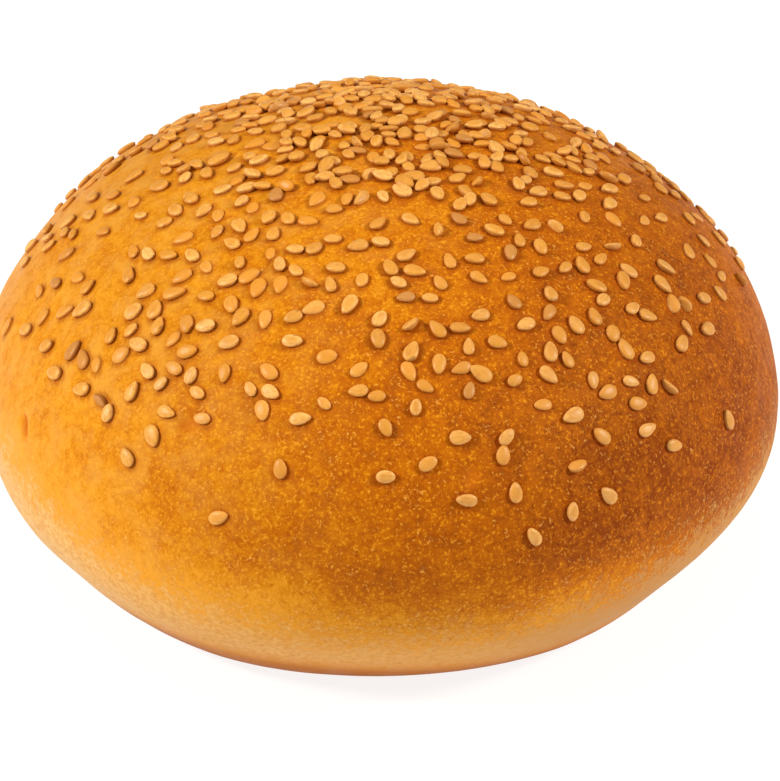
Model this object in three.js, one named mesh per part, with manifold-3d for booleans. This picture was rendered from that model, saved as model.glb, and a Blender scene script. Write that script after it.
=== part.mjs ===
// A whole seeded bread roll, as baked: a round dome of dough that bulges over a flat base, with sesame seeds
// stuck in the crust. Millimetres, +Z up. The origin is the centre of the base, on the surface it stands on.
// The crown is the dome above the widest level, and the flank is the pale undercut below it.

import * as THREE from "three";
import { ConvexGeometry } from "three/addons/geometries/ConvexGeometry.js";
import { mergeVertices } from "three/addons/utils/BufferGeometryUtils.js";
import Module from "manifold-3d";

const wasm = await Module();
wasm.setup();

// The dough, which is round but for some unevenness
const ROLL_RADIUS = 52; // at the widest level
const WAIST_HEIGHT = 21.5; // of the widest level above the base
const CROWN_RISE = 35.5; // from the widest level to the top
const BASE_RADIUS = 39.6; // where the flank would meet the surface it stands on, if the edge were sharp
const BASE_EDGE = 1.6; // how far the edge of the base is rounded up
const CROWN_POWER = 1.95; // 2 would be an ellipse, less is more pointed and more is squarer
const FLANK_POWER = 1.65; // reached a little below the widest level, so that the waist stays round
const WAIST_BLEND = 30; // degrees of slope over which it is reached
const CROWN_LEAN = 0.8; // how far the top stands to the +X side of the base's centre

// Plan outline: how many lobes, how far they stand out, and the bearing of the first, anticlockwise from +X
const PLAN_WAVES = [
  { lobes: 2, rise: 0.65, bearing: -67 },
  { lobes: 3, rise: 0.25, bearing: 20 },
  { lobes: 5, rise: 0.1, bearing: -4 },
];

// Gentle swells of the crust: wavelength, height and the direction that each runs in
const SWELLS = [
  { length: 33, rise: 0.16, along: [1, 0.4, 0.7] },
  { length: 25, rise: 0.11, along: [-0.5, 1, 0.6] },
  { length: 17, rise: 0.06, along: [0.3, -0.8, 1] },
];

// A sesame seed lying flat: a flattened drop with one narrow end
const SEED_LENGTH = 2.85;
const SEED_WIDTH = 1.78;
const SEED_PROUD = 0.62; // of its back above the crust
const SEED_RIM = 0.18; // of its widest outline above the crust
const SEED_SUNK = 0.8; // of its keel below the crust
const SEED_TAPER = 0.3; // share of the width lost from middle to tip
const SEED_SIDES = 6;
const SMALLEST_SEED = 0.84; // share of the full size
const LARGEST_SEED = 1.12;

// How thick the seeds are strewn, in seeds per square centimetre, before the room round each one thins them
const FIELD_DENSITY = 15;
const HEAP_DENSITY = 16; // more, on the top of the crown
const HEAP_SLOPE = 17; // degrees down from the top, where the heap thins out
const SEEDED_SLOPE = 63; // degrees down from the top, where the seeded field ends
const FADE_SLOPE = 6; // over which it ends
const BARE_PATCH = { bearing: -75, width: 20, slope: 6 }; // where the field ends higher, in degrees
const THIN_PATCH = { bearing: 160, width: 26, slope: 38, share: 0.3 }; // where fewer fell, below a slope
const CLUMPS = { length: 17, share: 0.35 };
const LEAST_GAP = 1.8; // between the centres of two seeds, as drawn for each
const MOST_GAP = 4;
const HEAP_CROWDING = 0.6; // share of that gap that is left in the heap
const SOLID_GAP = 2.7; // between those that are modelled here
const SEEDS_MODELLED = 250; // the largest, which keeps the solid light
const RANDOM_START = 350;

// Seeds that fell low on the front: bearing, slope down from the top, and turn, in degrees
const LONE_SEEDS = [
  { bearing: -134, slope: 67, turn: 100 },
  { bearing: -128, slope: 73, turn: 138 },
  { bearing: -112, slope: 79, turn: 25 },
  { bearing: -104, slope: 68, turn: 103 },
  { bearing: -89, slope: 68, turn: 0 },
  { bearing: -83, slope: 66, turn: 27 },
  { bearing: -78, slope: 73, turn: 169 },
  { bearing: -78, slope: 62, turn: 355 },
  { bearing: -72, slope: 66, turn: 75 },
  { bearing: -71, slope: 73, turn: 87 },
  { bearing: -71, slope: 63, turn: 38 },
  { bearing: -69, slope: 82, turn: 118 },
  { bearing: -63, slope: 79, turn: 79 },
  { bearing: -61, slope: 71, turn: 8 },
  { bearing: -57, slope: 78, turn: 127 },
  { bearing: -56, slope: 67, turn: 127 },
  { bearing: -48, slope: 69, turn: 4 },
  { bearing: -48, slope: 64, turn: 341 },
  { bearing: -44, slope: 74, turn: 339 },
  { bearing: -44, slope: 62, turn: 57 },
  { bearing: -41, slope: 64, turn: 122 },
  { bearing: -31, slope: 76, turn: 90 },
];

// Prints left by seeds that fell off
const SEED_PRINTS = [
  { bearing: -151, slope: 79, turn: 123 },
  { bearing: -120, slope: 64, turn: 23 },
  { bearing: -77, slope: 69, turn: 73 },
];
const PRINT_DEPTH = 0.35;

const radians = THREE.MathUtils.degToRad;
const HEIGHT = WAIST_HEIGHT + CROWN_RISE;

// Depth that the flank's curve would reach, of which the surface it stands on leaves only WAIST_HEIGHT
const FLANK_DEPTH =
  WAIST_HEIGHT / (1 - (BASE_RADIUS / ROLL_RADIUS) ** FLANK_POWER) ** (1 / FLANK_POWER);

// A point of the crust, at a bearing and at a slope angle: 0 at the top, 90 degrees at the widest level and
// 180 at the middle of the base, where the dough is pressed flat at height 0 with a rounded edge
function crustPoint(bearing, slope) {
  const { lerp, smoothstep } = THREE.MathUtils;
  const waist = Math.PI / 2;
  const below = slope > waist;
  const blend = smoothstep(slope, waist, waist + radians(WAIST_BLEND));
  const power = 2 / lerp(CROWN_POWER, FLANK_POWER, blend);
  const outward = Math.abs(Math.sin(slope)) ** power;
  const upward = Math.abs(Math.cos(slope)) ** power;
  const radius = PLAN_WAVES.reduce(
    (sum, wave) => sum + wave.rise * Math.cos(wave.lobes * (bearing - radians(wave.bearing))),
    ROLL_RADIUS,
  );
  const height = WAIST_HEIGHT + (below ? -FLANK_DEPTH : CROWN_RISE) * upward;
  const lean = (CROWN_LEAN * Math.max(height, 0)) / HEIGHT;
  const across = radius * outward;
  const point = new THREE.Vector3(
    across * Math.cos(bearing) + lean,
    across * Math.sin(bearing),
    height,
  );
  const ray = point.clone().sub(new THREE.Vector3(0, 0, WAIST_HEIGHT)).normalize();
  point.addScaledVector(ray, swell(point));
  point.z = BASE_EDGE * Math.log(1 + Math.exp(point.z / BASE_EDGE));
  return point;
}

function swell(point) {
  return SWELLS.reduce((sum, wave) => {
    const along = new THREE.Vector3(...wave.along).normalize();
    return sum + wave.rise * Math.sin((2 * Math.PI * point.dot(along)) / wave.length);
  }, 0);
}

// The crust's outward direction, from the points a little to each side
function crustNormal(bearing, slope) {
  const step = 0.02;
  const rightwards = crustPoint(bearing + step, slope).sub(crustPoint(bearing - step, slope));
  const downwards = crustPoint(bearing, slope + step).sub(crustPoint(bearing, slope - step));
  return downwards.cross(rightwards).normalize();
}

// A repeatable stream of draws from 0 to 1
function randomStream(start) {
  let state = start;
  return () => {
    state = (state * 48271) % 2147483647;
    return state / 2147483647;
  };
}

// How near a bearing is to the middle of a patch: 1 there, fading to 0 round it
function nearPatch(bearing, patch) {
  const away = 2 * Math.sin((bearing - radians(patch.bearing)) / 2);
  return Math.exp(-(away ** 2) / radians(patch.width) ** 2);
}

// Seeds per square centimetre: a heap on top, a clumpy field round it, and a ragged edge
function seedDensity(bearing, slope, point) {
  const { radToDeg, smoothstep } = THREE.MathUtils;
  const degrees = radToDeg(slope);
  const ragged = 2.5 * Math.sin(2 * bearing + 0.4) + 1.5 * Math.sin(5 * bearing);
  const edge = SEEDED_SLOPE + ragged - BARE_PATCH.slope * nearPatch(bearing, BARE_PATCH);
  const lowThere = smoothstep(degrees, THIN_PATCH.slope - FADE_SLOPE, THIN_PATCH.slope + FADE_SLOPE);
  const thinned = 1 - (1 - THIN_PATCH.share) * nearPatch(bearing, THIN_PATCH) * lowThere;
  const inside = (1 - smoothstep(degrees, edge - FADE_SLOPE, edge + FADE_SLOPE)) * thinned;
  const heap = HEAP_DENSITY * Math.exp(-((degrees / HEAP_SLOPE) ** 2));
  const turns = (2 * Math.PI) / CLUMPS.length;
  const clump = Math.sin(point.x * turns) * Math.sin(point.y * turns + 1) * Math.cos(point.z * turns);
  return (FIELD_DENSITY * (1 + CLUMPS.share * clump) + heap) * inside;
}

// Each seed's place, turn and size. A try takes the same number of draws, whether or not it is kept.
function layOutSeeds() {
  const random = randomStream(RANDOM_START);
  const seeds = LONE_SEEDS.map(({ bearing, slope, turn }) => ({
    bearing: radians(bearing),
    slope: radians(slope),
    turn: radians(turn),
    size: 1,
    point: crustPoint(radians(bearing), radians(slope)),
  }));
  const mostSlope = radians(SEEDED_SLOPE + 2 * FADE_SLOPE);
  const mostDensity = FIELD_DENSITY * (1 + CLUMPS.share) + HEAP_DENSITY;
  // Area of the band of crust that a draw of slope and bearing picks from, as if it were a flat sheet
  const sheetArea = (2 * Math.PI * ROLL_RADIUS * mostSlope * ROLL_RADIUS) / 100;
  const tries = Math.round(sheetArea * mostDensity);
  for (let i = 0; i < tries; i++) {
    const bearing = random() * 2 * Math.PI;
    const slope = random() * mostSlope;
    const keep = random();
    const turn = random() * 2 * Math.PI;
    const size = THREE.MathUtils.lerp(SMALLEST_SEED, LARGEST_SEED, random());
    const room = THREE.MathUtils.lerp(LEAST_GAP, MOST_GAP, random());
    const point = crustPoint(bearing, slope);
    const chance = (Math.sin(slope) * seedDensity(bearing, slope, point)) / mostDensity;
    const gap = slope < radians(HEAP_SLOPE) ? HEAP_CROWDING * room : room;
    if (keep < chance && seeds.every((other) => other.point.distanceTo(point) > gap)) {
      seeds.push({ bearing, slope, turn, size, point });
    }
  }
  return seeds;
}

// The largest seeds, kept apart: the lone ones first, as they show best
function seedsToModel(seeds) {
  const lone = seeds.slice(0, LONE_SEEDS.length);
  const field = seeds.slice(LONE_SEEDS.length).sort((a, b) => b.size - a.size);
  const chosen = [];
  for (const seed of [...lone, ...field]) {
    const clear = chosen.every((other) => other.point.distanceTo(seed.point) > SOLID_GAP);
    if (clear && chosen.length < SEEDS_MODELLED) {
      chosen.push(seed);
    }
  }
  return chosen;
}

// Half the seed's width at an angle round its outline, where 0 is the narrow tip
function outlinePoint(angle, height) {
  const half = (SEED_WIDTH / 2) * Math.sin(angle) * (1 - SEED_TAPER * Math.cos(angle));
  return new THREE.Vector3((SEED_LENGTH / 2) * Math.cos(angle), half, height);
}

// A closed seed: a drop-shaped outline, a short ridge above it and a keel below it
function seedGeometry() {
  const points = [];
  for (let i = 0; i < SEED_SIDES; i++) {
    points.push(outlinePoint((2 * Math.PI * i) / SEED_SIDES, SEED_RIM));
  }
  points.push(new THREE.Vector3(SEED_LENGTH / 6, 0, SEED_PROUD * 0.94));
  points.push(new THREE.Vector3(-SEED_LENGTH / 5, 0, SEED_PROUD));
  points.push(new THREE.Vector3(0, 0, -SEED_SUNK));
  return new ConvexGeometry(points);
}

// Turns a seed at the origin to lie on the crust, raised by lift
function placeOnCrust(seed, lift) {
  const up = crustNormal(seed.bearing, seed.slope);
  const east = new THREE.Vector3(-Math.sin(seed.bearing), Math.cos(seed.bearing), 0);
  const along = east.applyAxisAngle(up, seed.turn);
  const across = up.clone().cross(along).normalize();
  const forward = across.clone().cross(up);
  const matrix = new THREE.Matrix4().makeBasis(forward, across, up);
  matrix.scale(new THREE.Vector3(seed.size, seed.size, seed.size));
  return matrix.setPosition(seed.point.clone().addScaledVector(up, lift));
}

function solidOf(geometry) {
  const bare = geometry.clone();
  bare.deleteAttribute("normal");
  bare.deleteAttribute("uv");
  const merged = mergeVertices(bare, 1e-4);
  return new wasm.Manifold(
    new wasm.Mesh({
      numProp: 3,
      vertProperties: new Float32Array(merged.attributes.position.array),
      triVerts: new Uint32Array(merged.index.array),
    }),
  );
}

function geometryOf(solid) {
  const mesh = solid.getMesh();
  const geometry = new THREE.BufferGeometry();
  geometry.setAttribute("position", new THREE.BufferAttribute(mesh.vertProperties, mesh.numProp));
  geometry.setIndex(new THREE.BufferAttribute(mesh.triVerts, 1));
  geometry.computeVertexNormals();
  return geometry;
}

// The slopes of the rings of facets from the top to the middle of the base
function ringSlopes() {
  const CROWN_RINGS = 14;
  const FLANK_RINGS = 7;
  const BASE_RINGS = 2;
  const FOOT_SLOPE = 138; // where the rounded edge of the base is flat again
  const slopes = [];
  for (let i = 0; i < CROWN_RINGS; i++) {
    slopes.push((90 * i) / CROWN_RINGS);
  }
  for (let i = 0; i < FLANK_RINGS; i++) {
    slopes.push(90 + ((FOOT_SLOPE - 90) * i) / FLANK_RINGS);
  }
  for (let i = 0; i <= BASE_RINGS; i++) {
    slopes.push(FOOT_SLOPE + ((180 - FOOT_SLOPE) * i) / BASE_RINGS);
  }
  return slopes.map(radians);
}

// The dough as a turned shape, whose rings are then drawn out to the uneven crust
function doughSolid() {
  const SIDES = 64;
  const slopes = ringSlopes();
  const section = slopes.map((slope) => new THREE.Vector2(Math.sin(slope), Math.cos(slope)));
  section[slopes.length - 1].x = 0;
  const turned = new THREE.LatheGeometry(section.reverse(), SIDES);
  turned.rotateX(Math.PI / 2);
  const spots = turned.getAttribute("position");
  for (let i = 0; i < spots.count; i++) {
    const bearing = Math.atan2(spots.getY(i), spots.getX(i));
    const slope = Math.atan2(Math.hypot(spots.getX(i), spots.getY(i)), spots.getZ(i));
    const { x, y, z } = crustPoint(bearing, slope);
    spots.setXYZ(i, x, y, z);
  }
  return solidOf(turned);
}

function rollSolid() {
  const seedShape = seedGeometry();
  const seedAt = (seed, lift) => solidOf(seedShape.clone().applyMatrix4(placeOnCrust(seed, lift)));
  let roll = doughSolid();
  for (const print of SEED_PRINTS) {
    const place = {
      bearing: radians(print.bearing),
      slope: radians(print.slope),
      turn: radians(print.turn),
      size: 1,
    };
    place.point = crustPoint(place.bearing, place.slope);
    roll = roll.subtract(seedAt(place, SEED_SUNK - PRINT_DEPTH));
  }
  for (const seed of seedsToModel(layOutSeeds())) {
    roll = roll.add(seedAt(seed, 0));
  }
  return roll;
}

function makeRoll() {
  const crust = new THREE.MeshStandardMaterial({ color: 0xcf8320, roughness: 0.5, metalness: 0 });
  const roll = new THREE.Mesh(geometryOf(rollSolid()), crust);
  roll.name = "roll";
  return roll;
}

const breadRoll = new THREE.Group();
breadRoll.add(makeRoll());

export default breadRoll;
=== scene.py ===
# The looks of a whole seeded bread roll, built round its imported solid. Metres, +Z up. The origin is the
# centre of the base, and -Y is the side that faces the camera. The crown is the dome above the widest
# level, and the flank is the pale undercut below it. Bearings, slopes and turns are named in degrees, and
# the functions take them in radians.

import math

import bmesh
import bpy
import numpy as np
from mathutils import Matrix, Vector, noise
from mathutils.kdtree import KDTree


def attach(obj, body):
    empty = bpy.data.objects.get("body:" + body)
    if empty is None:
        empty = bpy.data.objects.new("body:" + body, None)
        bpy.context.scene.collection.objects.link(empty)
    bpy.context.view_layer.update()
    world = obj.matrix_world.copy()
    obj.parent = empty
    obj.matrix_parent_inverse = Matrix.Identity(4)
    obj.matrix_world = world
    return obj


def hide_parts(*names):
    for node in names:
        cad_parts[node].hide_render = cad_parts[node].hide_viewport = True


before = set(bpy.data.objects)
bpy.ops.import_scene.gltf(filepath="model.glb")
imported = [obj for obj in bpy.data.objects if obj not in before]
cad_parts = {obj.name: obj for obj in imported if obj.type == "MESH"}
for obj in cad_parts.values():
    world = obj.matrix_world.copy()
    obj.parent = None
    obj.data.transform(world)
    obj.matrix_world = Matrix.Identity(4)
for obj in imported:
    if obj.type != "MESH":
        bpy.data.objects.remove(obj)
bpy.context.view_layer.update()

MM = 0.001
RIGHT_ANGLE = math.pi / 2
RANDOM_FACTOR = 48271
RANDOM_RANGE = 2147483647

# The dough. These sizes are the solid's own, so that the crust and every seed lie where the solid has them.
ROLL_RADIUS = 52 * MM  # at the widest level
WAIST_HEIGHT = 21.5 * MM  # of the widest level above the base
CROWN_RISE = 35.5 * MM  # from the widest level to the top
BASE_RADIUS = 39.6 * MM  # where the flank would meet the floor, if the edge were sharp
BASE_EDGE = 1.6 * MM  # how far the edge of the base is rounded up
CROWN_POWER = 1.95  # 2 would be an ellipse, less is more pointed and more is squarer
FLANK_POWER = 1.65  # reached a little below the widest level, so that the waist stays round
WAIST_BLEND = math.radians(30)  # the slope over which it is reached
CROWN_LEAN = 0.8 * MM  # how far the top stands to the +X side of the base's centre
HEIGHT = WAIST_HEIGHT + CROWN_RISE
FLANK_DEPTH = WAIST_HEIGHT / (1 - (BASE_RADIUS / ROLL_RADIUS) ** FLANK_POWER) ** (1 / FLANK_POWER)
PLAN_WAVES = [
    {"lobes": 2, "rise": 0.65 * MM, "bearing": -67},
    {"lobes": 3, "rise": 0.25 * MM, "bearing": 20},
    {"lobes": 5, "rise": 0.1 * MM, "bearing": -4},
]
SWELLS = [
    {"length": 33 * MM, "rise": 0.16 * MM, "along": (1, 0.4, 0.7)},
    {"length": 25 * MM, "rise": 0.11 * MM, "along": (-0.5, 1, 0.6)},
    {"length": 17 * MM, "rise": 0.06 * MM, "along": (0.3, -0.8, 1)},
]

# The seeds' size, and how they are strewn, again as in the solid
SEED_LENGTH = 2.85 * MM
SEED_WIDTH = 1.78 * MM
SEED_PROUD = 0.62 * MM  # of its back above the crust
SEED_RIM = 0.18 * MM  # of its widest outline above the crust
SEED_TAPER = 0.3  # share of the width lost from middle to tip
SMALLEST_SEED = 0.84  # share of the full size
LARGEST_SEED = 1.12
SQUARE_CENTIMETRE = 1e-4
FIELD_DENSITY = 15  # seeds per square centimetre
HEAP_DENSITY = 16  # more, on the top of the crown
HEAP_SLOPE = 17  # where the heap thins out
SEEDED_SLOPE = 63  # where the seeded field ends
FADE_SLOPE = 6  # over which it ends
EDGE_WAVES = [  # by which that edge goes up and down
    {"lobes": 2, "rise": 2.5, "shift": 0.4},
    {"lobes": 5, "rise": 1.5, "shift": 0},
]
BARE_PATCH = {"bearing": -75, "width": 20, "slope": 6}  # where the field ends higher
THIN_PATCH = {"bearing": 160, "width": 26, "slope": 38, "share": 0.3}  # where fewer fell, below a slope
CLUMPS = {"length": 17 * MM, "share": 0.35, "shift": 1}
LEAST_GAP = 1.8 * MM  # between the centres of two seeds, as drawn for each
MOST_GAP = 4 * MM
HEAP_CROWDING = 0.6  # share of that gap that is left in the heap
RANDOM_START = 350
LONE_SEEDS = [
    {"bearing": -134, "slope": 67, "turn": 100},
    {"bearing": -128, "slope": 73, "turn": 138},
    {"bearing": -112, "slope": 79, "turn": 25},
    {"bearing": -104, "slope": 68, "turn": 103},
    {"bearing": -89, "slope": 68, "turn": 0},
    {"bearing": -83, "slope": 66, "turn": 27},
    {"bearing": -78, "slope": 73, "turn": 169},
    {"bearing": -78, "slope": 62, "turn": 355},
    {"bearing": -72, "slope": 66, "turn": 75},
    {"bearing": -71, "slope": 73, "turn": 87},
    {"bearing": -71, "slope": 63, "turn": 38},
    {"bearing": -69, "slope": 82, "turn": 118},
    {"bearing": -63, "slope": 79, "turn": 79},
    {"bearing": -61, "slope": 71, "turn": 8},
    {"bearing": -57, "slope": 78, "turn": 127},
    {"bearing": -56, "slope": 67, "turn": 127},
    {"bearing": -48, "slope": 69, "turn": 4},
    {"bearing": -48, "slope": 64, "turn": 341},
    {"bearing": -44, "slope": 74, "turn": 339},
    {"bearing": -44, "slope": 62, "turn": 57},
    {"bearing": -41, "slope": 64, "turn": 122},
    {"bearing": -31, "slope": 76, "turn": 90},
]
SEED_PRINTS = [  # the dents of seeds that fell off
    {"bearing": -151, "slope": 79, "turn": 123, "strength": 1.8, "width": 0.8},
    {"bearing": -120, "slope": 64, "turn": 23, "strength": 1, "width": 1},
    {"bearing": -77, "slope": 69, "turn": 73, "strength": 1, "width": 1},
]
PRINT_DEPTH = 0.35 * MM
PRINT_EDGE = 1.5  # how far a dent reaches, as a multiple of the seed's half length or width


def smoothstep(share):
    share = np.clip(share, 0, 1)
    return share * share * (3 - 2 * share)


def unit(vectors):
    return vectors / np.linalg.norm(vectors, axis=-1, keepdims=True)


def swell(points):
    total = np.zeros(points.shape[:-1])
    for wave in SWELLS:
        along = unit(np.array(wave["along"], float))
        total = total + wave["rise"] * np.sin(2 * math.pi * (points @ along) / wave["length"])
    return total


def crust_point(bearing, slope):
    """Points of the crust. The slope is 0 at the top, a right angle at the widest level and pi at the
    middle of the base."""
    bearing = np.asarray(bearing, float)
    slope = np.asarray(slope, float)
    blend = smoothstep((slope - RIGHT_ANGLE) / WAIST_BLEND)
    power = 2 / (CROWN_POWER + (FLANK_POWER - CROWN_POWER) * blend)
    outward = np.abs(np.sin(slope)) ** power
    upward = np.abs(np.cos(slope)) ** power
    radius = ROLL_RADIUS
    for wave in PLAN_WAVES:
        turned = bearing - math.radians(wave["bearing"])
        radius = radius + wave["rise"] * np.cos(wave["lobes"] * turned)
    height = WAIST_HEIGHT + np.where(slope > RIGHT_ANGLE, -FLANK_DEPTH, CROWN_RISE) * upward
    lean = CROWN_LEAN * np.maximum(height, 0) / HEIGHT
    across = radius * outward
    points = np.stack([across * np.cos(bearing) + lean, across * np.sin(bearing), height], axis=-1)
    rays = unit(points - np.array([0, 0, WAIST_HEIGHT]))
    points = points + rays * swell(points)[..., None]
    points[..., 2] = BASE_EDGE * np.log1p(np.exp(points[..., 2] / BASE_EDGE))
    return points


def crust_normal(bearing, slope):
    step = 0.02
    rightwards = crust_point(bearing + step, slope) - crust_point(bearing - step, slope)
    downwards = crust_point(bearing, slope + step) - crust_point(bearing, slope - step)
    return unit(np.cross(downwards, rightwards))


def random_stream(start):
    """A repeatable stream of draws from 0 to 1."""
    state = start
    while True:
        state = (state * RANDOM_FACTOR) % RANDOM_RANGE
        yield state / RANDOM_RANGE


def near_patch(bearing, patch):
    """How near a bearing is to the middle of a patch: 1 there, fading to 0 round it."""
    away = 2 * np.sin((bearing - math.radians(patch["bearing"])) / 2)
    return np.exp(-(away ** 2) / math.radians(patch["width"]) ** 2)


def seed_density(bearing, slope, points):
    """Seeds per square centimetre, before the room round each one thins them."""
    degrees = np.degrees(slope)
    ragged = sum(wave["rise"] * np.sin(wave["lobes"] * bearing + wave["shift"]) for wave in EDGE_WAVES)
    edge = SEEDED_SLOPE + ragged - BARE_PATCH["slope"] * near_patch(bearing, BARE_PATCH)
    low_there = smoothstep((degrees - THIN_PATCH["slope"] + FADE_SLOPE) / (2 * FADE_SLOPE))
    thinned = 1 - (1 - THIN_PATCH["share"]) * near_patch(bearing, THIN_PATCH) * low_there
    inside = (1 - smoothstep((degrees - edge + FADE_SLOPE) / (2 * FADE_SLOPE))) * thinned
    heap = HEAP_DENSITY * np.exp(-((degrees / HEAP_SLOPE) ** 2))
    turns = 2 * math.pi / CLUMPS["length"]
    x, y, z = np.moveaxis(points, -1, 0)
    clump = np.sin(x * turns) * np.sin(y * turns + CLUMPS["shift"]) * np.cos(z * turns)
    return (FIELD_DENSITY * (1 + CLUMPS["share"] * clump) + heap) * inside


def lay_out_seeds():
    """Every seed as (bearing, slope, turn, size), in the solid's order."""
    seeds = [(math.radians(s["bearing"]), math.radians(s["slope"]), math.radians(s["turn"]), 1)
             for s in LONE_SEEDS]
    places = [crust_point(seed[0], seed[1]) for seed in seeds]
    most_slope = math.radians(SEEDED_SLOPE + 2 * FADE_SLOPE)
    most_density = FIELD_DENSITY * (1 + CLUMPS["share"]) + HEAP_DENSITY
    sheet_area = 2 * math.pi * ROLL_RADIUS * most_slope * ROLL_RADIUS / SQUARE_CENTIMETRE
    tries = round(sheet_area * most_density)
    stream = random_stream(RANDOM_START)
    draws = np.array([[next(stream) for _ in range(6)] for _ in range(tries)])
    bearings = draws[:, 0] * 2 * math.pi
    slopes = draws[:, 1] * most_slope
    turns = draws[:, 3] * 2 * math.pi
    sizes = SMALLEST_SEED + (LARGEST_SEED - SMALLEST_SEED) * draws[:, 4]
    gaps = LEAST_GAP + (MOST_GAP - LEAST_GAP) * draws[:, 5]
    gaps = np.where(slopes < math.radians(HEAP_SLOPE), HEAP_CROWDING * gaps, gaps)
    points = crust_point(bearings, slopes)
    chances = np.sin(slopes) * seed_density(bearings, slopes, points) / most_density
    for i in np.flatnonzero(draws[:, 2] < chances):
        if np.linalg.norm(np.array(places) - points[i], axis=1).min() > gaps[i]:
            seeds.append((bearings[i], slopes[i], turns[i], sizes[i]))
            places.append(points[i])
    return np.array(seeds), np.array(places)


def seed_axes(seeds):
    """The directions along, across and out of each seed that lies flat on the crust."""
    up = crust_normal(seeds[:, 0], seeds[:, 1])
    east = np.stack([-np.sin(seeds[:, 0]), np.cos(seeds[:, 0]), np.zeros(len(seeds))], axis=-1)
    cosine = np.cos(seeds[:, 2])[:, None]
    sine = np.sin(seeds[:, 2])[:, None]
    lift = up * np.sum(up * east, axis=1, keepdims=True) * (1 - cosine)
    along = east * cosine + np.cross(up, east) * sine + lift
    across = unit(np.cross(up, along))
    return np.cross(across, up), across, up


# The crust, as a fine even net

NET_CUTS = 127
RELIEF = [
    {"length": 9 * MM, "depth": 0.1 * MM},
    {"length": 4 * MM, "depth": 0.045 * MM},
    {"length": 1.8 * MM, "depth": 0.02 * MM},
]
RELIEF_START = 3 * MM  # how far above the base the relief is full, and it is nothing at the base
DIP_REACH = 0.4 * MM  # how far from a seed's edge the glaze dips towards it
DIP_DEPTH = 0.07 * MM
SEED_SHADOW_SHIFT = 0.28 * MM  # how far a painted shadow, with some browned glaze, lies to one side of each seed
SEED_SHADOW_PULL = (0, -0.25, -0.6)  # towards the side of that painted shadow, down and towards -Y, which leans inwards on the left and right of the roll
MOST_CLEAR = 9 * MM  # the distance from a seed's edge that is as good as any greater one

# Browning, as a number: 0 is golden and 1 is the darkest brown. One spot of painted shade is held in it too
BAKED_TOP = 0.31
BAKED_LESS = 0.09  # at the side, where it isn't the dark side
DARK_SIDE = -25  # the bearing that was baked the most
DARK_RISE = 0.28  # how much more it was baked there
DARK_WAIST_RISE = 0.36  # and how much more still towards the widest level
DARK_POWER = 1.5  # above 1 the dark side is narrower than half the roll
TOP_SHARE = 0.15  # share of the radius within which it is baked as the top
SIDE_SPAN = 0.75  # share of the radius from there to where it is baked as the side
BAKED_AND_SHADED_SPOTS = [  # browner than their surroundings, or paler where the rise is negative; the second is painted shade on the back of the crown's top
    {"bearing": -47, "slope": 83, "width": 14 * MM, "rise": 0.18},
    # painted shade, not browning: darker where less light falls on the back of the crown's top
    {"bearing": 78, "slope": 31, "width": 14 * MM, "rise": 0.22},
    {"bearing": 2, "slope": 64, "width": 12 * MM, "rise": -0.1},
    {"bearing": -44, "slope": 61, "width": 13 * MM, "rise": -0.07},
]
LIGHT_PATCH = {"bearing": -134, "width": 18, "rise": -0.04}  # baked a little less, from top to base
LOW_PALE_SIDE = -82  # the bearing where the flank's pale dough starts lowest
PALE_HEIGHT = 12.4 * MM  # how high it starts there
PALE_RISE = 13 * MM  # how much higher it starts at the other side
PALE_SPREAD = 3.2  # how soon it rises on the way to the other side
PALE_FADE = 8.5 * MM  # how far above and below that height it fades
PALE_WAVES = {"length": 14 * MM, "rise": 2 * MM}
GOLDEN_FADE = 12 * MM  # over which the brown turns golden before the pale dough
BROWN_EDGE = {"bearing": -10, "width": 45, "share": 0.9}  # where it hardly turns golden
FOOT_HEIGHT = 8.5 * MM  # how high the base's browning fades out
FOOT_SLANT = 2.2 * MM  # how much higher on the left, and lower on the right


def even_net():
    """Directions and faces of a cube's net, blown up to a sphere with squares of nearly one size."""
    net = bmesh.new()
    bmesh.ops.create_cube(net, size=2)
    bmesh.ops.subdivide_edges(net, edges=net.edges[:], cuts=NET_CUTS, use_grid_fill=True)
    directions = np.array([v.co for v in net.verts])
    directions = unit(np.tan(directions * math.pi / 4))
    faces = [[v.index for v in f.verts] for f in net.faces]
    net.free()
    return directions, faces


def relief_noise(points):
    """Small unevenness of the crust, outwards from the middle of its widest level."""
    total = np.zeros(len(points))
    for octave in RELIEF:
        at = points / octave["length"]
        total += octave["depth"] * np.array([noise.noise(Vector(p)) for p in at])
    return total


def seed_distance(points, seeds, places, axes):
    """How far each point lies outside the outline of the nearest seed, in metres, and 0 inside it."""
    tree = KDTree(len(places))
    for i, place in enumerate(places):
        tree.insert(Vector(place), i)
    tree.balance()
    along, across, _ = axes
    reach = np.full(len(points), MOST_CLEAR)
    for k, point in enumerate(points):
        for _, i, _ in tree.find_n(Vector(point), 2):
            offset = point - places[i]
            x = offset @ along[i] / seeds[i, 3]
            y = offset @ across[i] / seeds[i, 3]
            edge = math.hypot(*seed_outline(math.atan2(y / SEED_WIDTH, x / SEED_LENGTH)))
            share = math.hypot(x, y) / edge
            outside = max(0.0, (share - 1) * edge)
            reach[k] = min(reach[k], outside)
    return reach


def print_depth(points):
    """The dents left by seeds that fell off."""
    total = np.zeros(len(points))
    for dent in SEED_PRINTS:
        seed = np.array([[math.radians(dent["bearing"]), math.radians(dent["slope"]),
                          math.radians(dent["turn"]), 1]])
        place = crust_point(seed[:, 0], seed[:, 1])[0]
        along, across, _ = (axis[0] for axis in seed_axes(seed))
        x = (points - place) @ along / (SEED_LENGTH / 2)
        y = (points - place) @ across / (SEED_WIDTH / 2 * dent["width"])
        near = np.linalg.norm(points - place, axis=1) < SEED_LENGTH
        total += np.where(near, dent["strength"] * smoothstep(PRINT_EDGE - np.hypot(x, y)), 0)
    return total


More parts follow.
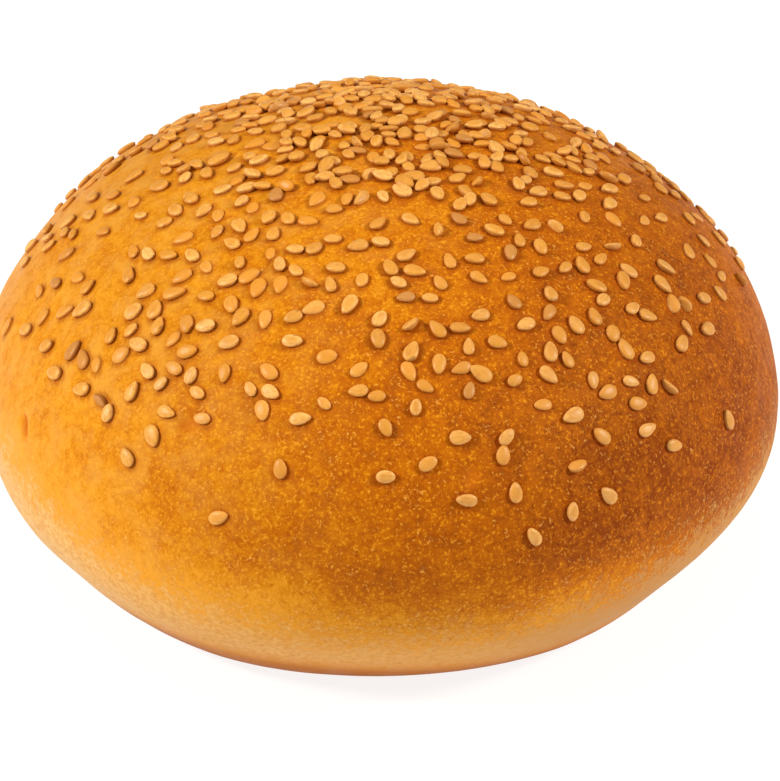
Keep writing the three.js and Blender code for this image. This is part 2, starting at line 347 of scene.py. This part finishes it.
def browning(points):
    """How far each point is baked, with painted shade on the back of the crown's top."""
    x, y, _ = np.moveaxis(points, -1, 0)
    bearing = np.arctan2(y, x)
    off_top = smoothstep((np.hypot(x, y) / ROLL_RADIUS - TOP_SHARE) / SIDE_SPAN)
    to_dark_side = ((1 + np.cos(bearing - math.radians(DARK_SIDE))) / 2) ** DARK_POWER
    darker = (DARK_RISE + DARK_WAIST_RISE * off_top ** 2) * to_dark_side
    baked = BAKED_TOP - BAKED_LESS * off_top + darker
    baked = baked + LIGHT_PATCH["rise"] * near_patch(bearing, LIGHT_PATCH) * off_top
    for spot in BAKED_AND_SHADED_SPOTS:
        middle = crust_point(math.radians(spot["bearing"]), math.radians(spot["slope"]))
        away = np.linalg.norm(points - middle, axis=1) / spot["width"]
        baked = baked + spot["rise"] * np.exp(-(away ** 2))
    return baked


def pale_edge(points):
    """The height at which the flank's pale dough starts below each point."""
    away = np.sin((np.arctan2(points[:, 1], points[:, 0]) - math.radians(LOW_PALE_SIDE)) / 2)
    waves = np.array([noise.noise(Vector(p) / PALE_WAVES["length"]) for p in points])
    return PALE_HEIGHT + PALE_RISE * (1 - np.exp(-PALE_SPREAD * away ** 2)) + PALE_WAVES["rise"] * waves


def float_attribute(mesh, name, values):
    attribute = mesh.attributes.new(name, "FLOAT", "POINT")
    attribute.data.foreach_set("value", np.asarray(values, np.float32))


def mesh_object(name, points, faces):
    mesh = bpy.data.meshes.new(name)
    mesh.from_pydata(points.tolist(), [], faces)
    mesh.polygons.foreach_set("use_smooth", [True] * len(mesh.polygons))
    mesh.update()
    piece = bpy.data.objects.new(name, mesh)
    bpy.context.scene.collection.objects.link(piece)
    return piece


def glaze_and_shadow_distance(points, seeds, places, axes):
    """How far each point lies from the painted shadow, with some browned glaze, that lies at one side of
    the seeds.
    """
    pull = np.array(SEED_SHADOW_PULL) - places * np.array([1 / ROLL_RADIUS, 0, 0])
    aside = unit(pull - axes[2] * np.sum(pull * axes[2], axis=1, keepdims=True))
    return seed_distance(points, seeds, places + SEED_SHADOW_SHIFT * aside, axes)


def make_crust(seeds, places, axes):
    directions, faces = even_net()
    bearing = np.arctan2(directions[:, 1], directions[:, 0])
    slope = np.arccos(np.clip(directions[:, 2], -1, 1))
    points = crust_point(bearing, slope)
    outwards = unit(points - np.array([0, 0, WAIST_HEIGHT]))
    above_base = smoothstep(points[:, 2] / RELIEF_START)
    dips = 1 - smoothstep(seed_distance(points, seeds, places, axes) / DIP_REACH)
    dents = print_depth(points)
    depth = relief_noise(points) - DIP_DEPTH * dips - PRINT_DEPTH * dents
    crust = mesh_object("crust", points + outwards * (depth * above_base)[:, None], faces)
    above_pale = points[:, 2] - pale_edge(points)
    turns_golden = 1 - BROWN_EDGE["share"] * near_patch(bearing, BROWN_EDGE)
    foot_height = FOOT_HEIGHT - FOOT_SLANT * np.cos(bearing)
    # distance to the painted shadows, with some browned glaze, at one side of each seed
    glaze = glaze_and_shadow_distance(points, seeds, places, axes)
    # the browning, with painted shade on the back of the crown's top, which the seeds there take too
    float_attribute(crust.data, "baked", browning(points))
    float_attribute(crust.data, "pale", 1 - smoothstep(0.5 + above_pale / (2 * PALE_FADE)))
    float_attribute(crust.data, "golden", turns_golden * (1 - smoothstep(above_pale / GOLDEN_FADE)))
    float_attribute(crust.data, "foot", 1 - smoothstep(points[:, 2] / foot_height))
    # painted shadow, with some browned glaze, at one side of each seed
    float_attribute(crust.data, "seed_glaze_and_shadow", 1 - smoothstep(glaze / DIP_REACH))
    float_attribute(crust.data, "dent", dents)
    return crust


# The seeds, as drops of true size joined into one mesh

SEED_SPOKES = 16
TOP_RINGS = 6
UNDER_RINGS = 3
SEED_SUNK = 0.5 * MM  # of its underside below the crust, less than in the solid
SEED_DOME = 0.48  # 0.5 would be an ellipse, and less is flatter
SEED_DISH = 0.06 * MM  # how far the middle of a seed's face is hollowed
DISH_REACH = 0.5  # share of the way to the rim
LEAST_TAPER = 0.06
MOST_TAPER = 0.34
LEAST_LENGTH = 0.84  # share of the full length
LENGTH_RANGE = 0.16  # how much more the longest have
LEAST_WIDTH = 0.86
WIDTH_RANGE = 0.16
SEED_POINT = 1.03  # above 1 the ends of a seed draw in to points
STREAK_SQUEEZE = 0.35  # how fast a seed's grain changes along it, as a share of how fast across it

LOOKS = ("form", "side", "edge", "width", "tone", "toast", "golden", "glaze")  # drawn in this order
LOOKS_START = 911
ON_EDGE_SHARE = 0.05  # of the seeds, which stand on edge
EDGE_TILT = math.radians(52)
EDGE_LIFT = 0.12 * MM
MOST_TILT = math.radians(14)  # of the others
TOASTED_SHARE = 0.045  # of the seeds
TOASTED = 0.85  # how far these are toasted
LIGHTLY_TOASTED = 0.25  # the most that the others are
GLAZE_RARITY = 4  # above 1 few seeds are glazed over

# The places, seen from above, where the seeds lie thicker than in the solid
HEAPS = [
    {"middle": (0, 12 * MM), "reach": 30 * MM, "tries": 380, "gap": 1.3 * MM},
    {"middle": (-19 * MM, -24 * MM), "reach": 14 * MM, "tries": 150, "gap": 2.3 * MM},
    {"middle": (12 * MM, -26 * MM), "reach": 16 * MM, "tries": 80, "gap": 2.5 * MM},
]
HEAP_START = 77
HEAP_POWER = 0.6  # 0.5 would strew a heap evenly, and more draws it to its middle
HEAP_SIZES = 0.2  # between the smallest and the largest, as a share of the full size
TOUCHING = 2.0 * MM  # centres closer than this lie on each other
STACK_LIFT = 0.2 * MM
STACK_LEAN = 0.22
SEED_LIFT = 0.08 * MM  # how far a seed's swollen rim stands off the crust
SINK = 0.3 * MM  # how much deeper a seed lies that the glaze has run over


def seed_outline(angle, taper=SEED_TAPER):
    """Where a seed's outline is at an angle round it, with its narrow tip at angle 0."""
    wide = math.copysign(abs(math.sin(angle)) ** SEED_POINT, math.sin(angle))
    half = SEED_WIDTH / 2 * wide * (1 - taper * math.cos(angle))
    return SEED_LENGTH / 2 * math.cos(angle), half


def seed_rings():
    """The rings of a seed's form, from its face to its keel, as the share of its outline, the height, and
    how near the rim it is."""
    rings = []
    for i in range(1, TOP_RINGS + 1):
        share = math.sin(RIGHT_ANGLE * i / TOP_RINGS)
        dome = (1 - share ** 2) ** SEED_DOME
        dish = SEED_DISH * math.exp(-((share / DISH_REACH) ** 2))
        rings.append((share, SEED_RIM + (SEED_PROUD - SEED_RIM) * dome - dish, share))
    for i in range(1, UNDER_RINGS):
        angle = RIGHT_ANGLE * i / UNDER_RINGS
        rings.append((math.cos(angle), SEED_RIM - (SEED_RIM + SEED_SUNK) * math.sin(angle), 1))
    return rings


def seed_form(taper):
    """Points, faces, and each point's share of the way from the middle of the face to the rim."""
    rings = seed_rings()
    points = [(0, 0, SEED_PROUD - SEED_DISH)]
    rims = [0]
    for share, height, rim in rings:
        for k in range(SEED_SPOKES):
            x, y = seed_outline(2 * math.pi * k / SEED_SPOKES, taper)
            points.append((x * share, y * share, height))
            rims.append(rim)
    points.append((0, 0, -SEED_SUNK))
    rims.append(1)
    faces = []
    last = len(points) - 1
    for k in range(SEED_SPOKES):
        after = (k + 1) % SEED_SPOKES
        faces.append((0, 1 + k, 1 + after))
        for ring in range(len(rings) - 1):
            upper = 1 + ring * SEED_SPOKES
            lower = upper + SEED_SPOKES
            faces.append((upper + k, lower + k, lower + after, upper + after))
        bottom = 1 + (len(rings) - 1) * SEED_SPOKES
        faces.append((bottom + k, last, bottom + after))
    return np.array(points), faces, np.array(rims)


def heap_seeds(places):
    """The seeds that lie on and between the others where they are thickest, in the same form."""
    stream = random_stream(HEAP_START)
    taken = [*places]
    seeds = []
    for heap in HEAPS:
        for _ in range(heap["tries"]):
            angle, reach, turn, size = (next(stream) for _ in range(4))
            reach = heap["reach"] * reach ** HEAP_POWER
            x = heap["middle"][0] + reach * math.cos(2 * math.pi * angle)
            y = heap["middle"][1] + reach * math.sin(2 * math.pi * angle)
            bearing = math.atan2(y, x)
            slope = math.asin((math.hypot(x, y) / ROLL_RADIUS) ** (CROWN_POWER / 2))
            place = crust_point(bearing, slope)
            if np.linalg.norm(np.array(taken) - place, axis=1).min() > heap["gap"]:
                taken.append(place)
                seeds.append((bearing, slope, 2 * math.pi * turn, SMALLEST_SEED + HEAP_SIZES * size))
    return np.array(seeds)


def pose_seed(i, places, axes, looks):
    """The turned axes and the middle of seed i, tipped a little, and lifted where it lies on another."""
    along, across, up = (axis[i] for axis in axes)
    roll = MOST_TILT * (looks["form"] + looks["side"] - 1)
    lift = SEED_LIFT - SINK * looks["glaze"]
    if looks["edge"] < ON_EDGE_SHARE:
        roll = EDGE_TILT * (1 if looks["side"] > 0.5 else -1)
        lift = EDGE_LIFT
    offsets = places[:i] - places[i]
    gaps = np.linalg.norm(offsets, axis=1)
    lean = np.zeros(3)
    for j in np.flatnonzero(gaps < TOUCHING):
        lean -= STACK_LEAN * offsets[j] / gaps[j]
        lift = min(lift + STACK_LIFT, 2 * STACK_LIFT)
    new_up = unit(up * math.cos(roll) + across * math.sin(roll) + lean)
    new_across = unit(np.cross(new_up, along))
    return np.cross(new_across, new_up), new_across, new_up, places[i] + up * lift


def seed_tint(looks, baked):
    """The numbers that colour one seed."""
    toast = LIGHTLY_TOASTED * looks["side"] ** 2
    if looks["toast"] < TOASTED_SHARE:
        toast = TOASTED
    return {"tone": looks["tone"], "toast": toast, "glaze": looks["glaze"], "golden": looks["golden"],
            "baked": baked}


def make_seeds(seeds, places, axes):
    stream = random_stream(LOOKS_START)
    bakes = browning(places)
    points, faces, rims, own_places, tints = [], [], [], [], []
    for i in range(len(seeds)):
        looks = {name: next(stream) for name in LOOKS}
        looks["glaze"] = looks["glaze"] ** GLAZE_RARITY
        along, across, up, middle = pose_seed(i, places, axes, looks)
        taper = LEAST_TAPER + (MOST_TAPER - LEAST_TAPER) * looks["form"]
        form, form_faces, form_rims = seed_form(taper)
        long = LEAST_LENGTH + LENGTH_RANGE * looks["form"]
        wide = LEAST_WIDTH + WIDTH_RANGE * looks["width"]
        sized = form * seeds[i, 3] * np.array([long, wide, 1])
        start = i * len(form)
        points.append(middle + sized @ np.stack([along, across, up]))
        faces += [tuple(start + v for v in face) for face in form_faces]
        rims.append(form_rims)
        own_places.append(form * np.array([STREAK_SQUEEZE, 1, 1]) + np.array([0, 0, SEED_LENGTH * i]))
        tints.append(seed_tint(looks, bakes[i]))
    piece = mesh_object("sesame_seeds", np.concatenate(points), faces)
    own_place = piece.data.attributes.new("own_place", "FLOAT_VECTOR", "POINT")
    own_place.data.foreach_set("vector", np.concatenate(own_places).astype(np.float32).ravel())
    float_attribute(piece.data, "rim", np.concatenate(rims))
    for name in tints[0]:
        float_attribute(piece.data, name, np.repeat([tint[name] for tint in tints], len(form)))
    return piece


# Materials


class Nodes:
    """Short calls for the nodes of one material."""

    def __init__(self, name):
        self.material = bpy.data.materials.new(name)
        self.material.use_nodes = True
        self.tree = self.material.node_tree
        self.shader = self.tree.nodes["Principled BSDF"]
        self.place = self.add("ShaderNodeTexCoord").outputs["Object"]

    def add(self, kind, **settings):
        node = self.tree.nodes.new(kind)
        for key, value in settings.items():
            setattr(node, key, value)
        return node

    def link(self, source, target):
        if isinstance(source, (int, float, tuple)):
            target.default_value = source
        else:
            self.tree.links.new(source, target)

    def attribute(self, name, output="Fac"):
        return self.add("ShaderNodeAttribute", attribute_name=name).outputs[output]

    def noise(self, grain, place=None):
        node = self.add("ShaderNodeTexNoise")
        self.link(place or self.place, node.inputs["Vector"])
        self.link(1 / grain["size"], node.inputs["Scale"])
        self.link(grain["detail"], node.inputs["Detail"])
        self.link(grain["roughness"], node.inputs["Roughness"])
        self.link(grain["distortion"], node.inputs["Distortion"])
        return node.outputs["Fac"]

    def math(self, operation, a, b):
        node = self.add("ShaderNodeMath", operation=operation)
        self.link(a, node.inputs[0])
        self.link(b, node.inputs[1])
        return node.outputs[0]

    def spread(self, value, low, high, out_low=0.0, out_high=1.0):
        node = self.add("ShaderNodeMapRange", interpolation_type="SMOOTHSTEP")
        for socket, given in zip(node.inputs, (value, low, high, out_low, out_high)):
            self.link(given, socket)
        return node.outputs["Result"]

    def patches(self, grain, out_low=0.0, out_high=1.0):
        """A noise that goes from one result to the other between the grain's two levels."""
        return self.spread(self.noise(grain), grain["low"], grain["high"], out_low, out_high)

    def ramp(self, value, stops):
        node = self.add("ShaderNodeValToRGB")
        elements = node.color_ramp.elements
        while len(elements) < len(stops):
            elements.new(0.5)
        for element, (position, colour) in zip(elements, stops):
            element.position = position
            element.color = colour
        self.link(value, node.inputs["Fac"])
        return node.outputs["Color"]

    def mix(self, share, a, b):
        node = self.add("ShaderNodeMix", data_type="RGBA")
        self.link(share, node.inputs["Factor"])
        self.link(a, node.inputs["A"])
        self.link(b, node.inputs["B"])
        return node.outputs["Result"]

    def bump(self, height, distance, strength):
        node = self.add("ShaderNodeBump")
        self.link(height, node.inputs["Height"])
        self.link(distance, node.inputs["Distance"])
        self.link(strength, node.inputs["Strength"])
        self.link(node.outputs["Normal"], self.shader.inputs["Normal"])


def colour(red, green, blue):
    """A shader colour from red, green and blue as a screen shows them, from 0 to 255."""
    linear = []
    for shown in (red, green, blue):
        share = shown / 255
        linear.append(((share + 0.055) / 1.055) ** 2.4 if shown > 10 else share / 12.92)
    return (*linear, 1.0)


def grain(size, detail=2, roughness=0.5, distortion=0, low=0.3, high=0.7):
    """A noise with patches of a size, and the two levels between which its patches fade."""
    return {"size": size, "detail": detail, "roughness": roughness, "distortion": distortion,
            "low": low, "high": high}


CRUST_COLOURS = [  # by how far it is baked
    (0.0, colour(226, 149, 36)),
    (0.15, colour(218, 139, 24)),
    (0.29, colour(208, 126, 12)),
    (0.46, colour(193, 106, 5)),
    (0.6, colour(178, 90, 4)),
    (0.75, colour(163, 79, 4)),
    (0.88, colour(147, 68, 4)),
    (1.0, colour(130, 52, 3)),
]
PALE_COLOURS = [  # of the flank's dough, also by baking
    (0.22, colour(226, 182, 120)),
    (0.36, colour(227, 170, 95)),
    (0.5, colour(228, 167, 86)),
    (0.7, colour(217, 157, 82)),
    (0.86, colour(190, 136, 80)),
]
FOOT_COLOURS = [  # by how near the base
    (0.3, colour(208, 122, 20)),
    (0.85, colour(156, 78, 4)),
]
STREAK_COLOUR = colour(206, 134, 46)
FLECK_COLOUR = colour(230, 158, 40)
PEACH_COLOUR = colour(224, 156, 62)
PRINT_COLOUR = colour(196, 102, 16)
# painted shadow, with some browned glaze, beside the seeds
GLAZE_AND_SHADOW_COLOUR = colour(150, 64, 5)
GLAZE_TINT = (1.0, 0.66, 0.2, 1.0)

CLOUDS = grain(7 * MM, 3, 0.55)
CLOUD_SWING = 0.08  # how much more or less these are baked
MOTTLE = grain(1.5 * MM, 3, 0.8, 0.4)
MOTTLE_SWING = 0.14
SPECKS = grain(0.55 * MM, 2, 0.6, low=0.54, high=0.76)
SPECK_RISE = 0.2  # how much more these are baked
FLECKS = grain(0.42 * MM, 2, 0.7, low=0.5, high=0.72)
FLECK_DROP = 0.42  # how much less these are baked
FLECK_SHARE = 0.14  # and how much of their own colour they show
PEACHES = grain(3.5 * MM, 3, 0.6, low=0.4, high=0.66)
STREAKS = grain(0.7 * MM, 3, 0.65, low=0.35, high=0.7)
MOST_STREAKED = 0.75
SHEEN_PATCHES = grain(3 * MM)
CRUST_ROUGHNESS = (0.44, 0.56)
BAKED_ROUGHNESS = 0.2  # how much rougher it is where baked
CRUST_SPECULAR = 0.2
FINE_PORES = grain(0.5 * MM, 3, 0.6)
PORES = grain(1.6 * MM)
PORE_DEPTH = 0.12 * MM
PORE_STRENGTH = 0.35
# how much the painted seed shadow, with its browned glaze, darkens the crust
GLAZE_AND_SHADOW_SHARE = 0.6
PRINT_SHARE = 0.6

# How one number follows another: from, to, and the results at these two, 0 and 1 where not given
GRAIN_BY_BAKING = (0.2, 0.7, 0.65, 1.0)
BAKING_BY_GOLDEN = (0.0, 1.0, 1.0, 0.28)
PEACH_BY_BAKING = (0.15, 0.65, 0.65, 0.0)
DOUGH_BY_PALE = (0.24, 0.85)
BROWN_BY_FOOT = (0.0, 0.65, 0.0, 0.95)


def crust_grain(n, baked, flecks):
    """Fine specks that are baked more and flecks that are baked less, the stronger the darker the crust."""
    specks = n.math("MULTIPLY", n.patches(SPECKS), SPECK_RISE)
    fine = n.math("SUBTRACT", specks, n.math("MULTIPLY", flecks, FLECK_DROP))
    return n.math("MULTIPLY", fine, n.spread(baked, *GRAIN_BY_BAKING))


def crown_colour(n, baked, uneven):
    faded = n.math("MULTIPLY", baked, n.spread(n.attribute("golden"), *BAKING_BY_GOLDEN))
    crown = n.ramp(n.math("ADD", faded, uneven), CRUST_COLOURS)
    peach = n.math("MULTIPLY", n.patches(PEACHES), n.spread(baked, *PEACH_BY_BAKING))
    return n.mix(peach, crown, PEACH_COLOUR)


def crust_material():
    n = Nodes("baked_crust")
    baked = n.attribute("baked")
    flecks = n.patches(FLECKS)
    fine = crust_grain(n, baked, flecks)
    mottle = n.patches(MOTTLE, -MOTTLE_SWING, MOTTLE_SWING)
    patchy = n.math("ADD", n.patches(CLOUDS, -CLOUD_SWING, CLOUD_SWING), mottle)
    crown = crown_colour(n, baked, n.math("ADD", patchy, fine))
    streaks = n.patches(STREAKS, 0.0, MOST_STREAKED)
    flank = n.mix(streaks, n.ramp(baked, PALE_COLOURS), STREAK_COLOUR)
    ragged = n.math("SUBTRACT", n.math("ADD", patchy, mottle), fine)
    floury = n.spread(n.math("ADD", n.attribute("pale"), ragged), *DOUGH_BY_PALE)
    base = n.mix(floury, crown, flank)
    speckled = n.mix(n.math("MULTIPLY", flecks, FLECK_SHARE), base, FLECK_COLOUR)
    # painted shadow, with some browned glaze, at one side of each seed
    glaze_and_shadow_mix = n.math("MULTIPLY", n.attribute("seed_glaze_and_shadow"), GLAZE_AND_SHADOW_SHARE)
    shadowed_round_seeds = n.mix(glaze_and_shadow_mix, speckled, GLAZE_AND_SHADOW_COLOUR)
    dented = n.mix(n.math("MULTIPLY", n.attribute("dent"), PRINT_SHARE), shadowed_round_seeds, PRINT_COLOUR)
    foot = n.attribute("foot")
    footed = n.mix(n.spread(foot, *BROWN_BY_FOOT), dented, n.ramp(foot, FOOT_COLOURS))
    n.link(footed, n.shader.inputs["Base Color"])
    sheen = n.patches(SHEEN_PATCHES, *CRUST_ROUGHNESS)
    roughness = n.math("ADD", sheen, n.math("MULTIPLY", baked, BAKED_ROUGHNESS))
    n.link(roughness, n.shader.inputs["Roughness"])
    n.link(CRUST_SPECULAR, n.shader.inputs["Specular IOR Level"])
    n.link(GLAZE_TINT, n.shader.inputs["Specular Tint"])
    n.bump(n.math("ADD", n.noise(FINE_PORES), n.noise(PORES)), PORE_DEPTH, PORE_STRENGTH)
    return n.material


SEED_COLOURS = [  # by a seed's own tone
    (0.0, colour(214, 142, 46)),
    (0.5, colour(232, 165, 74)),
    (1.0, colour(244, 186, 107)),
]
SEED_MIDDLE = colour(216, 142, 40)
SEED_GRAIN = colour(198, 122, 40)
TOASTED_COLOUR = colour(186, 120, 56)
GLAZED_COLOUR = colour(222, 142, 40)
SCORCHED_COLOUR = colour(112, 62, 22)
BAKED_SEED_COLOUR = colour(196, 128, 56)
# painted shade, with some glaze, on a seed's side where it meets the crust
SEED_FOOT_GLAZE_AND_SHADE = colour(150, 72, 10)

SEED_STREAKS = grain(0.32 * MM, 2, 0.6, 0.3, low=0.42, high=0.7)
MOST_GRAINED = 0.6
STREAK_DEPTH = 0.06 * MM
STREAK_STRENGTH = 0.45
SCORCHES = grain(1.3 * MM, 2, 0.6, low=0.64, high=0.74)
MOST_SCORCHED = 0.6
GLAZED_SHARE = 0.85
SEED_ROUGHNESS = 0.42
SEED_SPECULAR = 0.32

# Again from, to, and the results at these two
MIDDLE_BY_RIM = (0.4, 0.8, 1.0, 0.0)
MIDDLE_BY_GOLDEN = (0.0, 1.0, 0.15, 0.75)
SCORCH_BY_RIM = (0.5, 0.9)
BROWN_BY_BAKING = (0.4, 0.9, 0.0, 0.5)
# how much painted shade, with some glaze, the seed's side below its rim takes
GLAZE_AND_SHADE_BY_RIM = (0.9, 1.0, 0.0, 0.35)


def seed_material():
    n = Nodes("sesame")
    rim = n.attribute("rim")
    golden = n.spread(n.attribute("golden"), *MIDDLE_BY_GOLDEN)
    middle = n.math("MULTIPLY", n.spread(rim, *MIDDLE_BY_RIM), golden)
    faced = n.mix(middle, n.ramp(n.attribute("tone"), SEED_COLOURS), SEED_MIDDLE)
    streaks = n.noise(SEED_STREAKS, n.attribute("own_place", "Vector"))
    streaked = n.spread(streaks, SEED_STREAKS["low"], SEED_STREAKS["high"], 0.0, MOST_GRAINED)
    grained = n.mix(streaked, faced, SEED_GRAIN)
    toasted = n.mix(n.attribute("toast"), grained, TOASTED_COLOUR)
    spots = n.math("MULTIPLY", n.patches(SCORCHES, 0.0, MOST_SCORCHED), n.spread(rim, *SCORCH_BY_RIM))
    scorched = n.mix(spots, toasted, SCORCHED_COLOUR)
    glazed = n.mix(n.math("MULTIPLY", n.attribute("glaze"), GLAZED_SHARE), scorched, GLAZED_COLOUR)
    browned = n.mix(n.spread(n.attribute("baked"), *BROWN_BY_BAKING), glazed, BAKED_SEED_COLOUR)
    # painted shade, with some glaze, round the foot of each seed
    footed = n.mix(n.spread(rim, *GLAZE_AND_SHADE_BY_RIM), browned, SEED_FOOT_GLAZE_AND_SHADE)
    n.link(footed, n.shader.inputs["Base Color"])
    n.link(SEED_ROUGHNESS, n.shader.inputs["Roughness"])
    n.link(SEED_SPECULAR, n.shader.inputs["Specular IOR Level"])
    n.bump(streaks, STREAK_DEPTH, STREAK_STRENGTH)
    return n.material


# Studio

CAMERA_ELEVATION = math.radians(28)
CAMERA_DISTANCE = 600 * MM
PHOTO_HEIGHT = 781  # pixels, the longer side, to which the camera's view is fitted
SENSOR_WIDTH = 36  # millimetres, as the camera asks
SCALE_AT_AIM = 7.7232 / MM  # pixels of the photo in a metre
AIM_HEIGHT = 25 * MM
AIM_SIDEWAYS = 1.86 * MM
AIM_UPWARDS = -4.35 * MM
FLOOR_REACH = 4
FLOOR_DROP = 0.1 * MM
FLOOR_COLOUR = colour(130, 130, 130)
FLOOR_ROUGHNESS = 0.9
FLOOR_GLOW = 0.86  # which makes it as pale as the photo's background, with the lights on it
LIGHTS = [
    {"name": "left", "at": (-0.6, -0.22, 0.48), "size": 0.16, "power": 5.3, "tint": (1, 1, 0.86)},
    {"name": "right", "at": (0.64, -0.12, 0.44), "size": 0.16, "power": 4.5, "tint": (1, 1, 0.86)},
    {"name": "top", "at": (0.0, 0.05, 0.8), "size": 0.6, "power": 1.2, "tint": (1, 1, 0.92)},
    {"name": "front", "at": (-0.2, -0.8, 0.3), "size": 0.5, "power": 0.24, "tint": (1, 0.97, 0.84)},
]
SKY_STRENGTH = 0.22
WHITE = (1, 1, 1, 1)


def make_camera():
    camera = bpy.data.cameras.new("camera")
    holder = bpy.data.objects.new("camera", camera)
    bpy.context.scene.collection.objects.link(holder)
    back = Vector((0, -math.cos(CAMERA_ELEVATION), math.sin(CAMERA_ELEVATION)))
    image_up = Vector((0, math.sin(CAMERA_ELEVATION), math.cos(CAMERA_ELEVATION)))
    aim = Vector((AIM_SIDEWAYS, 0, AIM_HEIGHT)) + image_up * AIM_UPWARDS
    holder.location = aim + back * CAMERA_DISTANCE
    holder.rotation_euler = (-back).to_track_quat("-Z", "Y").to_euler()
    half_view = PHOTO_HEIGHT / 2 / SCALE_AT_AIM / CAMERA_DISTANCE
    camera.sensor_width = SENSOR_WIDTH
    camera.lens = SENSOR_WIDTH / 2 / half_view
    camera.clip_start = 0.01
    camera.clip_end = 20
    bpy.context.scene.camera = holder


def make_floor():
    corners = [(x * FLOOR_REACH, y * FLOOR_REACH, 0.0) for x, y in ((-1, -1), (1, -1), (1, 1), (-1, 1))]
    floor = mesh_object("floor", np.array(corners), [(0, 1, 2, 3)])
    floor.location.z = -FLOOR_DROP
    n = Nodes("floor")
    n.link(FLOOR_COLOUR, n.shader.inputs["Base Color"])
    n.link(FLOOR_ROUGHNESS, n.shader.inputs["Roughness"])
    n.link(0.0, n.shader.inputs["Specular IOR Level"])
    n.link(WHITE, n.shader.inputs["Emission Color"])
    n.link(FLOOR_GLOW, n.shader.inputs["Emission Strength"])
    floor.data.materials.append(n.material)


def make_lights():
    for light in LIGHTS:
        lamp = bpy.data.lights.new(light["name"], "AREA")
        lamp.shape = "DISK"
        lamp.size = light["size"]
        lamp.energy = light["power"]
        lamp.color = light["tint"]
        holder = bpy.data.objects.new(light["name"], lamp)
        holder.location = light["at"]
        towards = Vector((0, 0, WAIST_HEIGHT)) - holder.location
        holder.rotation_euler = towards.to_track_quat("-Z", "Y").to_euler()
        bpy.context.scene.collection.objects.link(holder)
    world = bpy.data.worlds.new("sky")
    world.use_nodes = True
    world.node_tree.nodes["Background"].inputs["Color"].default_value = WHITE
    world.node_tree.nodes["Background"].inputs["Strength"].default_value = SKY_STRENGTH
    bpy.context.scene.world = world


def main():
    seeds, places = lay_out_seeds()
    seeds = np.concatenate([seeds, heap_seeds(places)])
    places = crust_point(seeds[:, 0], seeds[:, 1])
    axes = seed_axes(seeds)
    crust = make_crust(seeds, places, axes)
    sesame = make_seeds(seeds, places, axes)
    crust.data.materials.append(crust_material())
    sesame.data.materials.append(seed_material())
    for piece, slot in ((crust, "crust"), (sesame, "sesame")):
        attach(piece, "root")
        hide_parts("roll")
    make_camera()
    make_floor()
    make_lights()
    bpy.context.scene.view_settings.view_transform = "Standard"


main()
